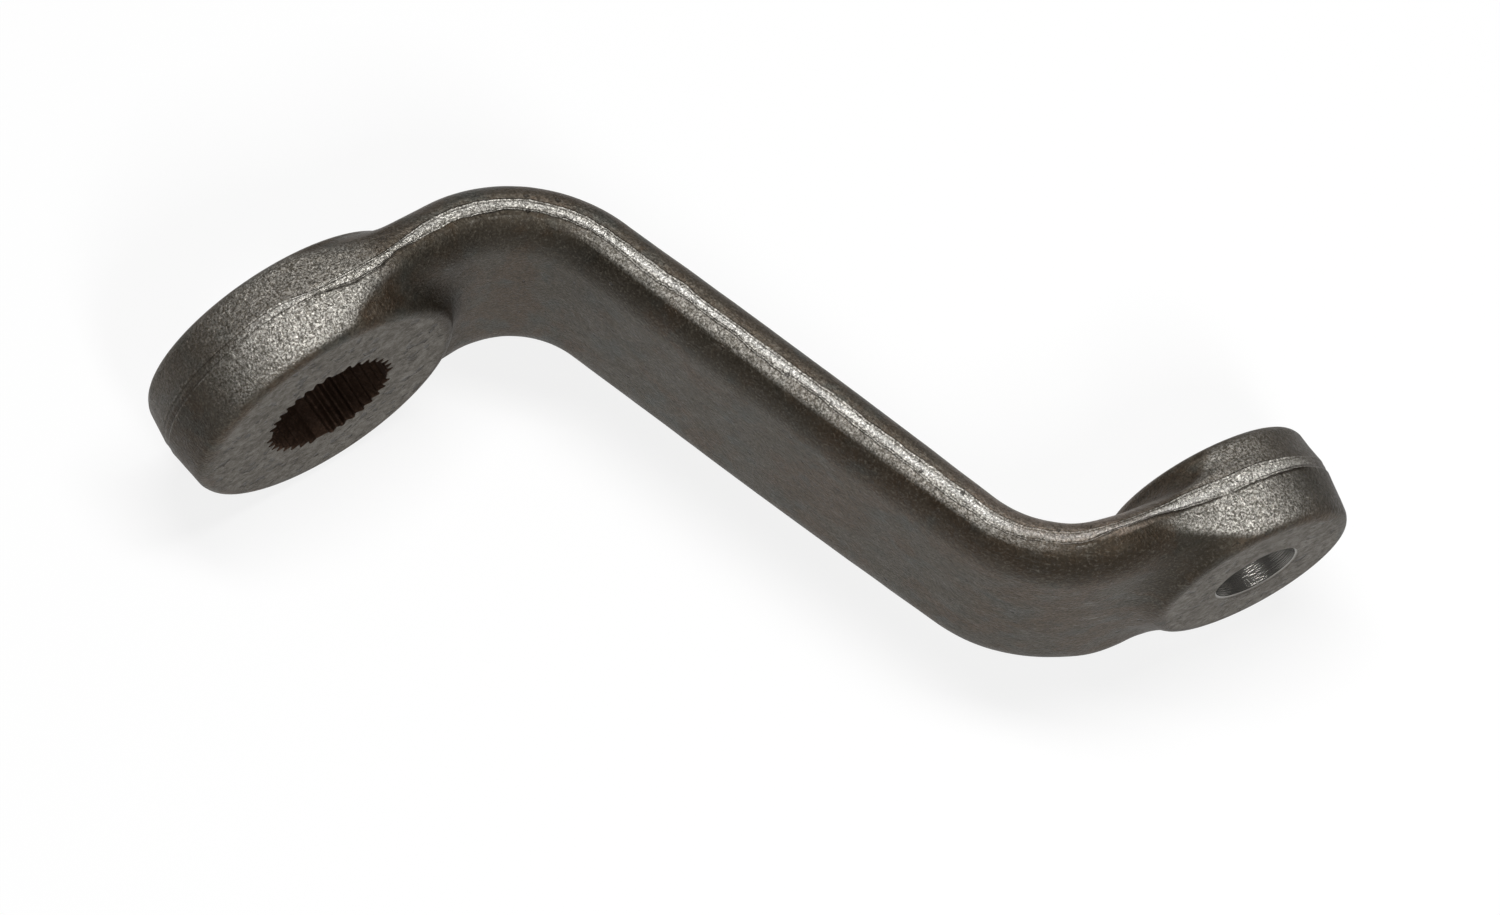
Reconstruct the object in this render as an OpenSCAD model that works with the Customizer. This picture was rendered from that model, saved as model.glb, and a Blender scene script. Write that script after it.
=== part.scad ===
// Drop pitman arm: one forged steel lever between a steering gear and a drag link.
// A serrated, tapered bore grips the gear's shaft, and a tapered hole takes the drag link's stud.
// The forging is drawn flat first, with s along the arm, t across it and n through it, and then
// bent along an S: X runs to the stud eye, Z across the web, and the nut faces look to -Y.
// The origin is on the shaft bore's axis, on the parting surface of the forging.

/* [Arm path] */
// Angle that the middle leg makes with the shaft eye, degrees
leg_angle = 71.4; // [60:0.1:78]
// Radius of the bend next to the shaft eye, on the parting surface
shaft_bend_r = 30.2; // [26:0.1:45]
// Radius of the bend next to the stud eye, on the parting surface
stud_bend_r = 32.6; // [28:0.1:45]
// Straight length of the middle leg between the bends
leg_length = 100.1; // [60:0.1:150]
// Lean of the stud eye towards the shaft eye, degrees
stud_lean = 6.7; // [0:0.1:12]
// Flat neck between the shaft eye and its bend
shaft_neck = 1.7; // [0.5:0.1:12]
// Flat neck between the stud eye and its bend
stud_neck = 0.2; // [0.2:0.1:12]

/* [Web] */
// Width of the web along the middle leg, over the parting land
web_width = 58; // [52:0.1:62]
// Width of the web's shoulders before the stud eye
shoulder_width = 60.7; // [54:0.1:64]
// Thickness of the web at the shaft eye
web_root = 15.2; // [15:0.1:18]
// Thickness of the web in the middle of the leg
web_middle = 15.8; // [15:0.1:19]
// Thickness of the web at the stud eye
web_tip = 13.6; // [13.6:0.1:17]
// Height of the oval rounding on the web's long edges
web_edge_rise = 5.8; // [3:0.1:5.8]
// Width of the same rounding, across the web
web_edge_run = 10.5; // [4:0.1:12]

/* [Forging] */
// Draft of the die walls, degrees
draft = 7; // [5:0.5:9]
// Height of the trimmed parting land that runs round the edge
land_height = 2.6; // [1.6:0.1:3]
// Radius on the rims of both eyes
rim_r = 2.9; // [1.5:0.1:3.6]

// Depth that the flat faces of both eyes are milled below the forged rims
facing = 0.1; // [0.05:0.05:0.3]

/* [Shaft eye] */
// Diameter of the shaft eye over the parting land
shaft_eye_d = 68; // [64:0.1:74]
// Height of the nut face above the parting surface
shaft_nut_side = 12.5; // [11.5:0.1:15]
// Height of the gear side face below the parting surface
shaft_gear_side = 10.5; // [10:0.1:14]
// Fillet where the web runs into the shaft eye's wall, on the nut side
shaft_nut_fillet = 7; // [4:0.5:10]
// The same fillet on the gear side
shaft_gear_fillet = 8; // [4:0.5:10]

/* [Shaft bore] */
// Diameter over the bottoms of the serrations at the nut face
serration_major_d = 32; // [30:0.1:34]
// Depth of the serrations, from crest to bottom
serration_depth = 1.3; // [0.8:0.1:1.5]
// Number of equal pitches round the bore
serration_pitches = 36; // [24:4:48]
// Number of pitches left blank, evenly spaced, which key the arm to the shaft
blank_pitches = 4; // [4]
// Turn of the first blank pitch from the X axis towards -Z, degrees
blank_turn = 6.5; // [0:0.5:90]
// Growth of the bore's diameter for each millimetre towards the gear
shaft_taper = 0.0625; // [0.05:0.0025:0.1]

/* [Stud eye] */
// Diameter of the stud eye over the parting land
stud_eye_d = 50.8; // [46:0.1:54]
// Height of the stud eye's nut side face above the parting surface
stud_nut_side = 11.4; // [10:0.1:15]
// Height of its other face below the parting surface
stud_gear_side = 12.5; // [10:0.1:15]
// Fillet where the web runs into the stud eye's wall, on the nut side
stud_nut_fillet = 14; // [5:0.5:14]
// The same fillet on the gear side
stud_gear_fillet = 6; // [4:0.5:12]
// Sink of the parting surface at the stud eye, towards the gear side
stud_land_drop = 1.5; // [0:0.1:2.5]

/* [Stud hole] */
// Diameter of the stud hole at the nut side face
stud_hole_d = 19.5; // [16:0.1:22]
// Distance of the hole's axis past the eye's centre, away from the web
stud_hole_offset = 1; // [0:0.1:3]
// Loss of the hole's diameter for each millimetre away from that face
stud_taper = 0.125; // [0.1:0.005:0.15]
// Width of the broken edge at each end of the stud hole
stud_chamfer = 0.5; // [0.2:0.1:1]

/* [Hidden] */

// Eye radii, half thicknesses and the half height of the land
shaft_r = shaft_eye_d / 2;
stud_r = stud_eye_d / 2;
land = land_height / 2;
half_web = web_width / 2;
half_shoulder = shoulder_width / 2;

// Stations along the flat arm, from the shaft eye's centre to the stud eye's centre
bend1_from = shaft_r + shaft_neck;
bend1_to = bend1_from + shaft_bend_r * leg_angle * PI / 180;
bend2_from = bend1_to + leg_length;
bend2_to = bend2_from + stud_bend_r * (leg_angle - stud_lean) * PI / 180;
arm_end = bend2_to + stud_r + stud_neck;

// Where the eyes hand over to the web, just past the foot of each fillet
foot_margin = 1.5;
foot_share = 0.75;
shaft_join = shaft_r + max(shaft_nut_fillet, shaft_gear_fillet) * foot_share + foot_margin;
stud_join = arm_end - stud_r - max(stud_nut_fillet, stud_gear_fillet) * foot_share - foot_margin;

// Mesh steps: arcs round the eyes, their sides, rings along each ray, samples to place them,
// columns of the broad face, edge roundings, bends in degrees a row, the middle leg
arc_steps = 11;
side_steps = 13;
ray_rings = 13;
ray_samples = 90;
web_columns = 6;
edge_steps = 5;
bend_step = 6.5;
leg_steps = 8;
row_gap = 1;
circle_steps = 96;
cut_margin = 1;

// A smooth change from 0 to 1 between two values
function ease(x, from, to) =
    let (u = min(1, max(0, (x - from) / (to - from))))
    u * u * (3 - 2 * u);
function mix(a, b, u) = a + (b - a) * u;

// Middle line of the S: place and heading at station s, in the plane of the bore axis
leg_from = [
    bend1_from + shaft_bend_r * sin(leg_angle),
    shaft_bend_r * (1 - cos(leg_angle))
];
leg_to = leg_from + leg_length * [cos(leg_angle), sin(leg_angle)];
neck_from = leg_to + stud_bend_r * [
    sin(leg_angle) - sin(stud_lean),
    cos(stud_lean) - cos(leg_angle)
];
function heading(s) =
    s < bend1_from ? 0
    : s < bend1_to ? (s - bend1_from) / shaft_bend_r * 180 / PI
    : s < bend2_from ? leg_angle
    : s < bend2_to ? leg_angle - (s - bend2_from) / stud_bend_r * 180 / PI
    : stud_lean;
function middle(s) =
    let (h = heading(s))
    s < bend1_from ? [s, 0]
    : s < bend1_to ? [bend1_from, 0] + shaft_bend_r * [sin(h), 1 - cos(h)]
    : s < bend2_from ? leg_from + (s - bend1_to) * [cos(h), sin(h)]
    : s < bend2_to ? leg_to + stud_bend_r * [sin(leg_angle) - sin(h), cos(h) - cos(leg_angle)]
    : neck_from + (s - bend2_to) * [cos(h), sin(h)];

// A point of the flat forging, taken to its place on the bent arm
function bent(s, t, n) =
    let (m = middle(s), h = heading(s))
    [m.x - n * sin(h), -(m.y + n * cos(h)), t];

// Half width of the outline at station s between the two eye centres. It narrows from the shaft
// eye and flares into the shoulders, over spans that are shares of the eye radii.
narrow_start = 0.24;
narrow_reach = 0.95;
flare_start = 0.82;
flare_reach = 1.25;
narrow_from = shaft_r * narrow_start;
narrow_to = bend1_from + shaft_r * narrow_reach;
flare_from = bend2_from + stud_r * flare_start;
flare_to = arm_end - stud_r * flare_reach;
function half_width(s) =
    s < flare_from ? mix(shaft_r, half_web, ease(s, narrow_from, narrow_to))
    : s < flare_to ? mix(half_web, half_shoulder, ease(s, flare_from, flare_to))
    : mix(half_shoulder, stud_r, ease(s, flare_to, arm_end));

// Half thickness of the web at station s
leg_middle = (bend1_to + bend2_from) / 2;
function web_half(s) =
    s < leg_middle
    ? mix(web_root, web_middle, ease(s, bend1_from, leg_middle)) / 2
    : mix(web_middle, web_tip, ease(s, leg_middle, bend2_to)) / 2;

// Edge of a forged form: a drafted wall above the land and an oval rounding up to its top.
// Depths are measured inward from the outline.
function wall_top(top, rise) = top - rise * (1 - sin(draft));
function wall_depth(top, rise) = (wall_top(top, rise) - land) * tan(draft);
function edge_depth(top, rise, run) = wall_depth(top, rise) + run * cos(draft);
function edge_height(d, top, rise, run) =
    let (wall = wall_depth(top, rise), inner = edge_depth(top, rise, run))
    d <= wall ? land + max(0, d) / tan(draft)
    : d < inner ? top - rise + rise * sqrt(1 - pow((inner - d) / run, 2))
    : top;

// Eye 0 is the shaft eye and eye 1 the stud eye; side 1 is the nut side and -1 the gear side
function eye_of(s) = s < leg_middle ? 0 : 1;
function eye_radius(eye) = eye == 0 ? shaft_r : stud_r;
function eye_station(eye) = eye == 0 ? 0 : arm_end;
function eye_top(eye, side) =
    facing + (
        eye == 0 ? (side > 0 ? shaft_nut_side : shaft_gear_side)
        : (side > 0 ? stud_nut_side : stud_gear_side)
    );
function eye_fillet(eye, side) =
    eye == 0 ? (side > 0 ? shaft_nut_fillet : shaft_gear_fillet)
    : (side > 0 ? stud_nut_fillet : stud_gear_fillet);

// Fall from an eye's face to the web at distance x past the start of its rim:
// a round rim, a steep wall and a fillet, which meet smoothly
function fall(x, rise, fillet) =
    let (
        c = 1 - rise / (rim_r + fillet),
        g = c <= sin(draft) ? 90 - draft : acos(c),
        rim_end = rim_r * sin(g),
        wall_fall = max(0, rise - (rim_r + fillet) * (1 - cos(g))),
        wall_end = rim_end + wall_fall / tan(g),
        back = wall_end + fillet * sin(g) - x
    )
    x <= 0 ? 0
    : x < rim_end ? rim_r - sqrt(rim_r * rim_r - x * x)
    : x < wall_end ? rim_r * (1 - cos(g)) + (x - rim_end) * tan(g)
    : back <= 0 ? rise
    : rise - fillet + sqrt(fillet * fillet - back * back);

// Depth of a point inside the outline
slope_step = 0.5;
function half_slope(s) = (half_width(s + slope_step) - half_width(s - slope_step)) / (2 * slope_step);
function depth_at(s, t) =
    s < 0 ? shaft_r - norm([s, t])
    : s > arm_end ? stud_r - norm([s - arm_end, t])
    : (half_width(s) - abs(t)) / norm([1, half_slope(s)]);

// Height of the forged surface over the parting surface: an eye stands on the web, and neither
// stands out past the drafted wall that rises from the outline
function forged_height(s, t, side) =
    let (
        eye = eye_of(s),
        top = eye_top(eye, side),
        d = depth_at(s, t),
        web = edge_height(d, web_half(s), web_edge_rise, web_edge_run),
        rim_from = eye_radius(eye) - edge_depth(top, rim_r, rim_r),
        x = norm([s - eye_station(eye), t]) - rim_from,
        stand = top - fall(x, top - web, eye_fillet(eye, side))
    )
    min(stand, edge_height(d, top, rim_r, rim_r));

// Sink of the land and of the walls below the web's level, at the stud eye
function sink(s, height) =
    stud_land_drop * ease(s, bend2_from, bend2_to)
        * max(0, 1 - (height - land) / (web_half(s) - land));

// The outline as stations [s, t, inward s, inward t], on the side where t is positive
web_rows = concat(
    [for (s = [shaft_join : shaft_bend_r * bend_step * PI / 180 : bend1_to - row_gap]) s],
    [for (i = [0 : leg_steps - 1]) bend1_to + leg_length * i / leg_steps],
    [for (s = [bend2_from : stud_bend_r * bend_step * PI / 180 : stud_join - row_gap]) s],
    [stud_join]
);
shaft_sides = [for (i = [0 : side_steps - 1]) shaft_join * i / side_steps];
stud_sides = [for (i = [1 : side_steps]) mix(stud_join, arm_end, i / side_steps)];
function edge_station(s) =
    let (slope = half_slope(s), l = norm([slope, 1]))
    [s, half_width(s), slope / l, -1 / l];
function arc_station(eye, angle) =
    let (r = eye_radius(eye), way = eye == 0 ? 1 : -1)
    [
        eye_station(eye) + way * r * cos(angle),
        r * sin(angle),
        -way * cos(angle),
        -sin(angle)
    ];
half_outline = concat(
    [for (i = [0 : arc_steps - 1]) arc_station(0, 180 - 90 * i / arc_steps)],
    [for (s = concat(shaft_sides, web_rows, stud_sides)) edge_station(s)],
    [for (i = [1 : arc_steps]) arc_station(1, 90 + 90 * i / arc_steps)]
);
half_count = len(half_outline);
// The whole loop: down one side and back along the other, with the two tips used once
outline = concat(
    half_outline,
    [for (i = [half_count - 2 : -1 : 1]) let (p = half_outline[i]) [p[0], -p[1], p[2], -p[3]]]
);
loop_count = len(outline);

// A row across the web: land corner, wall, rounding and the broad face, then the same backwards
row_half = [
    0,
    for (k = [0 : edge_steps - 1]) mix(draft, 90, k / (edge_steps - 1))
];
row_length = 2 * len(row_half) + web_columns - 1;
function row_edge(row, k) =
    let (
        p = outline[row],
        top = web_half(p[0]),
        inner = edge_depth(top, web_edge_rise, web_edge_run),
        d = k == 0 ? 0 : inner - web_edge_run * cos(row_half[k])
    )
    [p[0] + p[2] * d, p[1] + p[3] * d];
function row_point(row, c, side) =
    let (
        last = len(row_half) - 1,
        a = row_edge(row, last),
        q = c <= last ? row_edge(row, c)
            : c >= row_length - 1 - last ? let (e = row_edge(row, row_length - 1 - c)) [e.x, -e.y]
            : mix(a, [a.x, -a.y], (c - last) / web_columns)
    )
    [q.x, q.y, c == 0 || c == row_length - 1 ? land : forged_height(q.x, q.y, side)];

// Ray ends round an eye: the outline from one end of the web's first row round the back to the
// other, and then that row itself
first_row = arc_steps + side_steps;
row_count = len(web_rows);
last_row = first_row + row_count - 1;
function back_count(eye) = 2 * (eye == 0 ? first_row : half_count - 1 - last_row) + 1;
function ray_count(eye) = back_count(eye) + row_length - 2;
function back_index(eye, i) = eye == 0 ? (loop_count - first_row + i) % loop_count : last_row + i;
function ray_end(side, eye, i) =
    i < back_count(eye)
    ? let (p = outline[back_index(eye, i)]) [p[0], p[1], land]
    : let (c = i - back_count(eye) + 1)
      eye == 0 ? row_point(first_row, c, side) : row_point(last_row, row_length - 1 - c, side);

// Points along one ray, from the start of the rim outwards. They lie closer where it falls or
// turns, so that the rings follow the rim, the wall and the fillet.
fall_weight = 2;
turn_weight = 0.8;
function ray_points(side, eye, i) =
    let (
        e = ray_end(side, eye, i),
        c = eye_station(eye),
        v = [e.x - c, e.y],
        from = (eye_radius(eye) - edge_depth(eye_top(eye, side), rim_r, rim_r)) / norm(v),
        trail = [
            for (j = [0 : ray_samples])
                let (u = mix(from, 1, j / ray_samples))
                j == ray_samples ? [1, e.z] : [u, forged_height(c + v.x * u, v.y * u, side)]
        ],
        run = norm(v),
        legs = [
            for (j = [0 : ray_samples - 1])
                [run * (trail[j + 1][0] - trail[j][0]), trail[j + 1][1] - trail[j][1]]
        ],
        slopes = [for (leg = legs) atan2(leg.y, leg.x)],
        steps = [
            for (j = [0 : ray_samples - 1])
                norm(legs[j]) + fall_weight * abs(legs[j].y)
                    + (j == 0 ? 0 : turn_weight * abs(slopes[j] - slopes[j - 1]) * PI / 180)
        ],
        travelled = [
            for (j = 0, sum = 0; j <= ray_samples; sum = sum + (j < ray_samples ? steps[j] : 0), j = j + 1)
                sum
        ],
        whole = travelled[ray_samples],
        along = [for (j = [0 : ray_samples]) [travelled[j], trail[j][0]]],
        heights = [for (j = [0 : ray_samples]) [travelled[j], trail[j][1]]]
    )
    [
        for (m = [0 : ray_rings - 1])
            let (at = whole * m / ray_rings, u = lookup(at, along))
            [c + v.x * u, v.y * u, lookup(at, heights)]
    ];

// All points of one side: both eyes' rays, ring by ring, their centres, then the outline's land
// corners and the web's rows
function eye_points(side, eye) =
    let (rays = [for (i = [0 : ray_count(eye) - 1]) ray_points(side, eye, i)])
    concat(
        [for (m = [0 : ray_rings - 1]) for (ray = rays) ray[m]],
        [[eye_station(eye), 0, eye_top(eye, side)]]
    );
function side_points(side) =
    [
        for (p = concat(
            eye_points(side, 0),
            eye_points(side, 1),
            [for (p = outline) [p[0], p[1], land]],
            [for (row = [first_row : last_row]) for (c = [1 : row_length - 2]) row_point(row, c, side)]
        ))
            [p.x, p.y, side * p.z - sink(p.x, p.z)]
    ];

// Where each group of points starts in the list of one side
function eye_first(eye) = eye == 0 ? 0 : ray_rings * ray_count(0) + 1;
function eye_centre(eye) = eye_first(eye) + ray_rings * ray_count(eye);
land_first = eye_centre(1) + 1;
rows_first = land_first + loop_count;
side_total = rows_first + row_count * (row_length - 2);

function land_id(i) = land_first + i % loop_count;
function row_id(row, c) =
    c == 0 ? land_id(row)
    : c == row_length - 1 ? land_id(loop_count - row)
    : rows_first + (row - first_row) * (row_length - 2) + c - 1;
function ray_id(eye, i, m) =
    let (j = i % ray_count(eye))
    m < ray_rings ? eye_first(eye) + m * ray_count(eye) + j
    : j < back_count(eye) ? land_id(back_index(eye, j))
    : let (c = j - back_count(eye) + 1)
      eye == 0 ? row_id(first_row, c) : row_id(last_row, row_length - 1 - c);

// Faces of one side, looking at it from outside the nut side. A quad is split along the diagonal
// that is nearer to level, because creases and valleys run level too.
function quad(points, a, b, c, d) =
    abs(points[a].z - points[c].z) <= abs(points[b].z - points[d].z)
    ? [[a, b, c], [a, c, d]]
    : [[a, b, d], [b, c, d]];
function side_faces(points) = concat(
    [for (eye = [0, 1]) for (m = [0 : ray_rings - 1]) for (i = [0 : ray_count(eye) - 1])
        each quad(
            points,
            ray_id(eye, i, m + 1), ray_id(eye, i + 1, m + 1),
            ray_id(eye, i + 1, m), ray_id(eye, i, m)
        )],
    [for (eye = [0, 1]) for (i = [0 : ray_count(eye) - 1])
        [ray_id(eye, i, 0), ray_id(eye, i + 1, 0), eye_centre(eye)]],
    [for (row = [first_row : last_row - 1]) for (c = [0 : row_length - 2])
        each quad(
            points,
            row_id(row, c), row_id(row + 1, c),
            row_id(row + 1, c + 1), row_id(row, c + 1)
        )]
);

// The forging as one closed skin: the nut side, the gear side turned over, and the land between
module forging() {
    nut_points = side_points(1);
    gear_points = side_points(-1);
    flat_points = concat(nut_points, gear_points);
    gear_faces = [
        for (f = side_faces(gear_points))
            [f[2] + side_total, f[1] + side_total, f[0] + side_total]
    ];
    land_faces = [
        for (i = [0 : loop_count - 1])
            each quad(
                flat_points,
                land_id(i + 1), land_id(i),
                land_id(i) + side_total, land_id(i + 1) + side_total
            )
    ];
    polyhedron(
        points = [for (p = flat_points) bent(p[0], p[1], p[2])],
        faces = concat(side_faces(nut_points), gear_faces, land_faces),
        convexity = 6
    );
}

// Outline of the serrated cutter at the nut face, with its blank pitches
pitch = 360 / serration_pitches;
// Half widths of a groove at the crests and at its bottom, as shares of the pitch
groove_mouth = 0.42;
groove_floor = 0.1;
groove_top = groove_mouth * pitch;
groove_bottom = groove_floor * pitch;
module serration_outline() {
    crest_r = serration_major_d / 2 - serration_depth;
    blank_every = serration_pitches / blank_pitches;
    polygon([
        for (i = [0 : serration_pitches - 1])
            for (q = i % blank_every == 0
                ? [[crest_r, -groove_top], [crest_r, 0], [crest_r, groove_top]]
                : [
                    [crest_r, -groove_top],
                    [serration_major_d / 2, -groove_bottom],
                    [serration_major_d / 2, groove_bottom],
                    [crest_r, groove_top]
                ])
                let (a = blank_turn + i * pitch + q[1])
                q[0] * [cos(a), sin(a)]
    ]);
}

// Serrated bore: the cutter widens from the nut face to the gear side
module shaft_bore() {
    length = shaft_nut_side + shaft_gear_side + 2 * cut_margin;
    from_d = serration_major_d - shaft_taper * cut_margin;
    rotate([-90, 0, 0])
        translate([0, 0, -shaft_nut_side - cut_margin])
            scale([from_d / serration_major_d, from_d / serration_major_d, 1])
                linear_extrude(height = length, scale = (from_d + shaft_taper * length) / from_d)
                    serration_outline();
}

// Tapered hole for the ball stud, with a broken edge at each end
module stud_bore() {
    length = stud_nut_side + stud_gear_side;
    small_d = stud_hole_d - stud_taper * length;
    rotate([-90, 0, 0]) {
        translate([0, 0, -stud_nut_side - cut_margin])
            cylinder(
                h = length + 2 * cut_margin,
                d1 = stud_hole_d + stud_taper * cut_margin,
                d2 = small_d - stud_taper * cut_margin,
                $fn = circle_steps
            );
        translate([0, 0, -stud_nut_side - cut_margin])
            cylinder(
                h = cut_margin + stud_chamfer,
                d1 = stud_hole_d + 2 * (stud_chamfer + cut_margin),
                d2 = stud_hole_d,
                $fn = circle_steps
            );
        translate([0, 0, stud_gear_side - stud_chamfer])
            cylinder(
                h = cut_margin + stud_chamfer,
                d1 = small_d,
                d2 = small_d + 2 * (stud_chamfer + cut_margin),
                $fn = circle_steps
            );
    }
}

// Flat face of an eye, milled square to its axis
module face_cut(eye_r, height, way) {
    rotate([way * 90, 0, 0])
        translate([0, 0, height])
            cylinder(h = cut_margin, r = eye_r, $fn = circle_steps);
}

// The arm: the forging with its two machined holes and four milled faces
module pitman_arm() {
    stud_centre_line = middle(arm_end);
    color([0.24, 0.22, 0.20])
        difference() {
            forging();
            shaft_bore();
            face_cut(shaft_r, shaft_nut_side, 1);
            face_cut(shaft_r, shaft_gear_side, -1);
            translate([stud_centre_line.x, -stud_centre_line.y, 0])
                rotate([0, 0, -stud_lean]) {
                    translate([stud_hole_offset, 0, 0])
                        stud_bore();
                    face_cut(stud_r, stud_nut_side, 1);
                    face_cut(stud_r, stud_gear_side, -1);
                }
        }
}

pitman_arm();
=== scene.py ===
import math

import bmesh
import bpy
import numpy as np
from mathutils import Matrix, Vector


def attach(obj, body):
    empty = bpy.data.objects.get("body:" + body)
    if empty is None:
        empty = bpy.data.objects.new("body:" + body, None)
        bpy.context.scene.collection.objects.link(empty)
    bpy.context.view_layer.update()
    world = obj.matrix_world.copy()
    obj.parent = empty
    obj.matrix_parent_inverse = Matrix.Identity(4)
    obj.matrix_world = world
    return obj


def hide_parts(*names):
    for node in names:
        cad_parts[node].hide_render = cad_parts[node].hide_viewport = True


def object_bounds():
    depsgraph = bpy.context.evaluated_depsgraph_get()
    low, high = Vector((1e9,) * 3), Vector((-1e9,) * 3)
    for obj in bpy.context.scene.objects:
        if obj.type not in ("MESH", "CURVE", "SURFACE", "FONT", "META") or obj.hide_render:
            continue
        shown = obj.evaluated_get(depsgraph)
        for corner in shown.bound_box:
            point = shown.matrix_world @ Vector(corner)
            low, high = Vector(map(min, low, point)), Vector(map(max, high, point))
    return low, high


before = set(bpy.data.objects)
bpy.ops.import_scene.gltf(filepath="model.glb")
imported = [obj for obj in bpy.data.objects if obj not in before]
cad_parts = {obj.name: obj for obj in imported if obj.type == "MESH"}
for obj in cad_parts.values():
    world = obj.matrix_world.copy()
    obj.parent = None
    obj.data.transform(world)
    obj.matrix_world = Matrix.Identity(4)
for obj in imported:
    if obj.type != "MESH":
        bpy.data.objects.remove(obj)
cad_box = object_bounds()

# ---------------------------------------------------------------------------
# Form of the forging, in millimetres, from the same sizes as the solid.
# s runs along the arm, t across it and n through it, before it is bent.
# ---------------------------------------------------------------------------
DEG = math.pi / 180
LEG_ANGLE = 71.4 * DEG
SHAFT_BEND_R = 30.2
STUD_BEND_R = 32.6
LEG_LENGTH = 100.1
STUD_LEAN = 6.7 * DEG
SHAFT_NECK = 1.7
STUD_NECK = 0.2
HALF_WEB = 58 / 2
HALF_SHOULDER = 60.7 / 2
WEB_ROOT, WEB_MIDDLE, WEB_TIP = 15.2, 15.8, 13.6
EDGE_RISE, EDGE_RUN = 5.8, 10.5
DRAFT = 7 * DEG
LAND = 2.6 / 2
RIM_R = 2.9
SHAFT_R = 68 / 2
STUD_R = 50.8 / 2
NUT, GEAR = 1, -1
TOPS = {(0, NUT): 12.5, (0, GEAR): 10.5, (1, NUT): 11.4, (1, GEAR): 12.5}
FILLETS = {(0, NUT): 7.0, (0, GEAR): 8.0, (1, NUT): 14.0, (1, GEAR): 6.0}
LAND_DROP = 1.5
SERRATION_R = 16.0
SERRATION_DEPTH = 1.3
PITCHES = 36
BLANK_TURN = 6.5
SHAFT_TAPER = 0.0625
HOLE_R = 19.5 / 2
HOLE_OFFSET = 1.0
HOLE_TAPER = 0.125

BEND1_FROM = SHAFT_R + SHAFT_NECK
BEND1_TO = BEND1_FROM + SHAFT_BEND_R * LEG_ANGLE
BEND2_FROM = BEND1_TO + LEG_LENGTH
BEND2_TO = BEND2_FROM + STUD_BEND_R * (LEG_ANGLE - STUD_LEAN)
END = BEND2_TO + STUD_R + STUD_NECK
MIDDLE = (BEND1_TO + BEND2_FROM) / 2
LEG_FROM = (
    BEND1_FROM + SHAFT_BEND_R * math.sin(LEG_ANGLE),
    SHAFT_BEND_R * (1 - math.cos(LEG_ANGLE)),
)
LEG_TO = (
    LEG_FROM[0] + LEG_LENGTH * math.cos(LEG_ANGLE),
    LEG_FROM[1] + LEG_LENGTH * math.sin(LEG_ANGLE),
)
NECK_FROM = (
    LEG_TO[0] + STUD_BEND_R * (math.sin(LEG_ANGLE) - math.sin(STUD_LEAN)),
    LEG_TO[1] + STUD_BEND_R * (math.cos(STUD_LEAN) - math.cos(LEG_ANGLE)),
)


def ease(x, a, b):
    u = np.clip((np.asarray(x, float) - a) / (b - a), 0, 1)
    return u * u * (3 - 2 * u)


def mix(a, b, u):
    return a + (b - a) * u


def bent(flat):
    """Points [s, t, n] of the flat forging, taken to the bent arm."""
    s, t, n = flat[..., 0], flat[..., 1], flat[..., 2]
    h = np.select(
        [s < BEND1_FROM, s < BEND1_TO, s < BEND2_FROM, s < BEND2_TO],
        [0 * s, (s - BEND1_FROM) / SHAFT_BEND_R, LEG_ANGLE + 0 * s,
         LEG_ANGLE - (s - BEND2_FROM) / STUD_BEND_R],
        STUD_LEAN,
    )
    ch, sh = np.cos(h), np.sin(h)
    x = np.select(
        [s < BEND1_FROM, s < BEND1_TO, s < BEND2_FROM, s < BEND2_TO],
        [s, BEND1_FROM + SHAFT_BEND_R * sh, LEG_FROM[0] + (s - BEND1_TO) * ch,
         LEG_TO[0] + STUD_BEND_R * (math.sin(LEG_ANGLE) - sh)],
        NECK_FROM[0] + (s - BEND2_TO) * ch,
    )
    a = np.select(
        [s < BEND1_FROM, s < BEND1_TO, s < BEND2_FROM, s < BEND2_TO],
        [0 * s, SHAFT_BEND_R * (1 - ch), LEG_FROM[1] + (s - BEND1_TO) * sh,
         LEG_TO[1] + STUD_BEND_R * (ch - math.cos(LEG_ANGLE))],
        NECK_FROM[1] + (s - BEND2_TO) * sh,
    )
    return np.stack([x - n * sh, -(a + n * ch), t], -1)


def half_width(s):
    f0, f1 = BEND2_FROM + STUD_R * 0.82, END - STUD_R * 1.25
    narrow = ease(s, SHAFT_R * 0.24, BEND1_FROM + SHAFT_R * 0.95)
    return np.where(
        s < f0, mix(SHAFT_R, HALF_WEB, narrow),
        np.where(s < f1, mix(HALF_WEB, HALF_SHOULDER, ease(s, f0, f1)),
                 mix(HALF_SHOULDER, STUD_R, ease(s, f1, END))))


def half_slope(s):
    return half_width(s + 0.5) - half_width(s - 0.5)


def web_half(s):
    return np.where(
        s < MIDDLE, mix(WEB_ROOT, WEB_MIDDLE, ease(s, BEND1_FROM, MIDDLE)),
        mix(WEB_MIDDLE, WEB_TIP, ease(s, MIDDLE, BEND2_TO))) / 2


def wall_depth(top, rise):
    return (top - rise * (1 - math.sin(DRAFT)) - LAND) * math.tan(DRAFT)


def edge_depth(top, rise, run):
    return wall_depth(top, rise) + run * math.cos(DRAFT)


def edge_height(d, top, rise, run):
    wall, inner = wall_depth(top, rise), edge_depth(top, rise, run)
    q = np.clip((inner - d) / run, 0, 1)
    curve = top - rise + rise * np.sqrt(np.maximum(0, 1 - q * q))
    return np.where(d <= wall, LAND + np.maximum(0, d) / math.tan(DRAFT), np.where(d < inner, curve, top))


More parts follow.
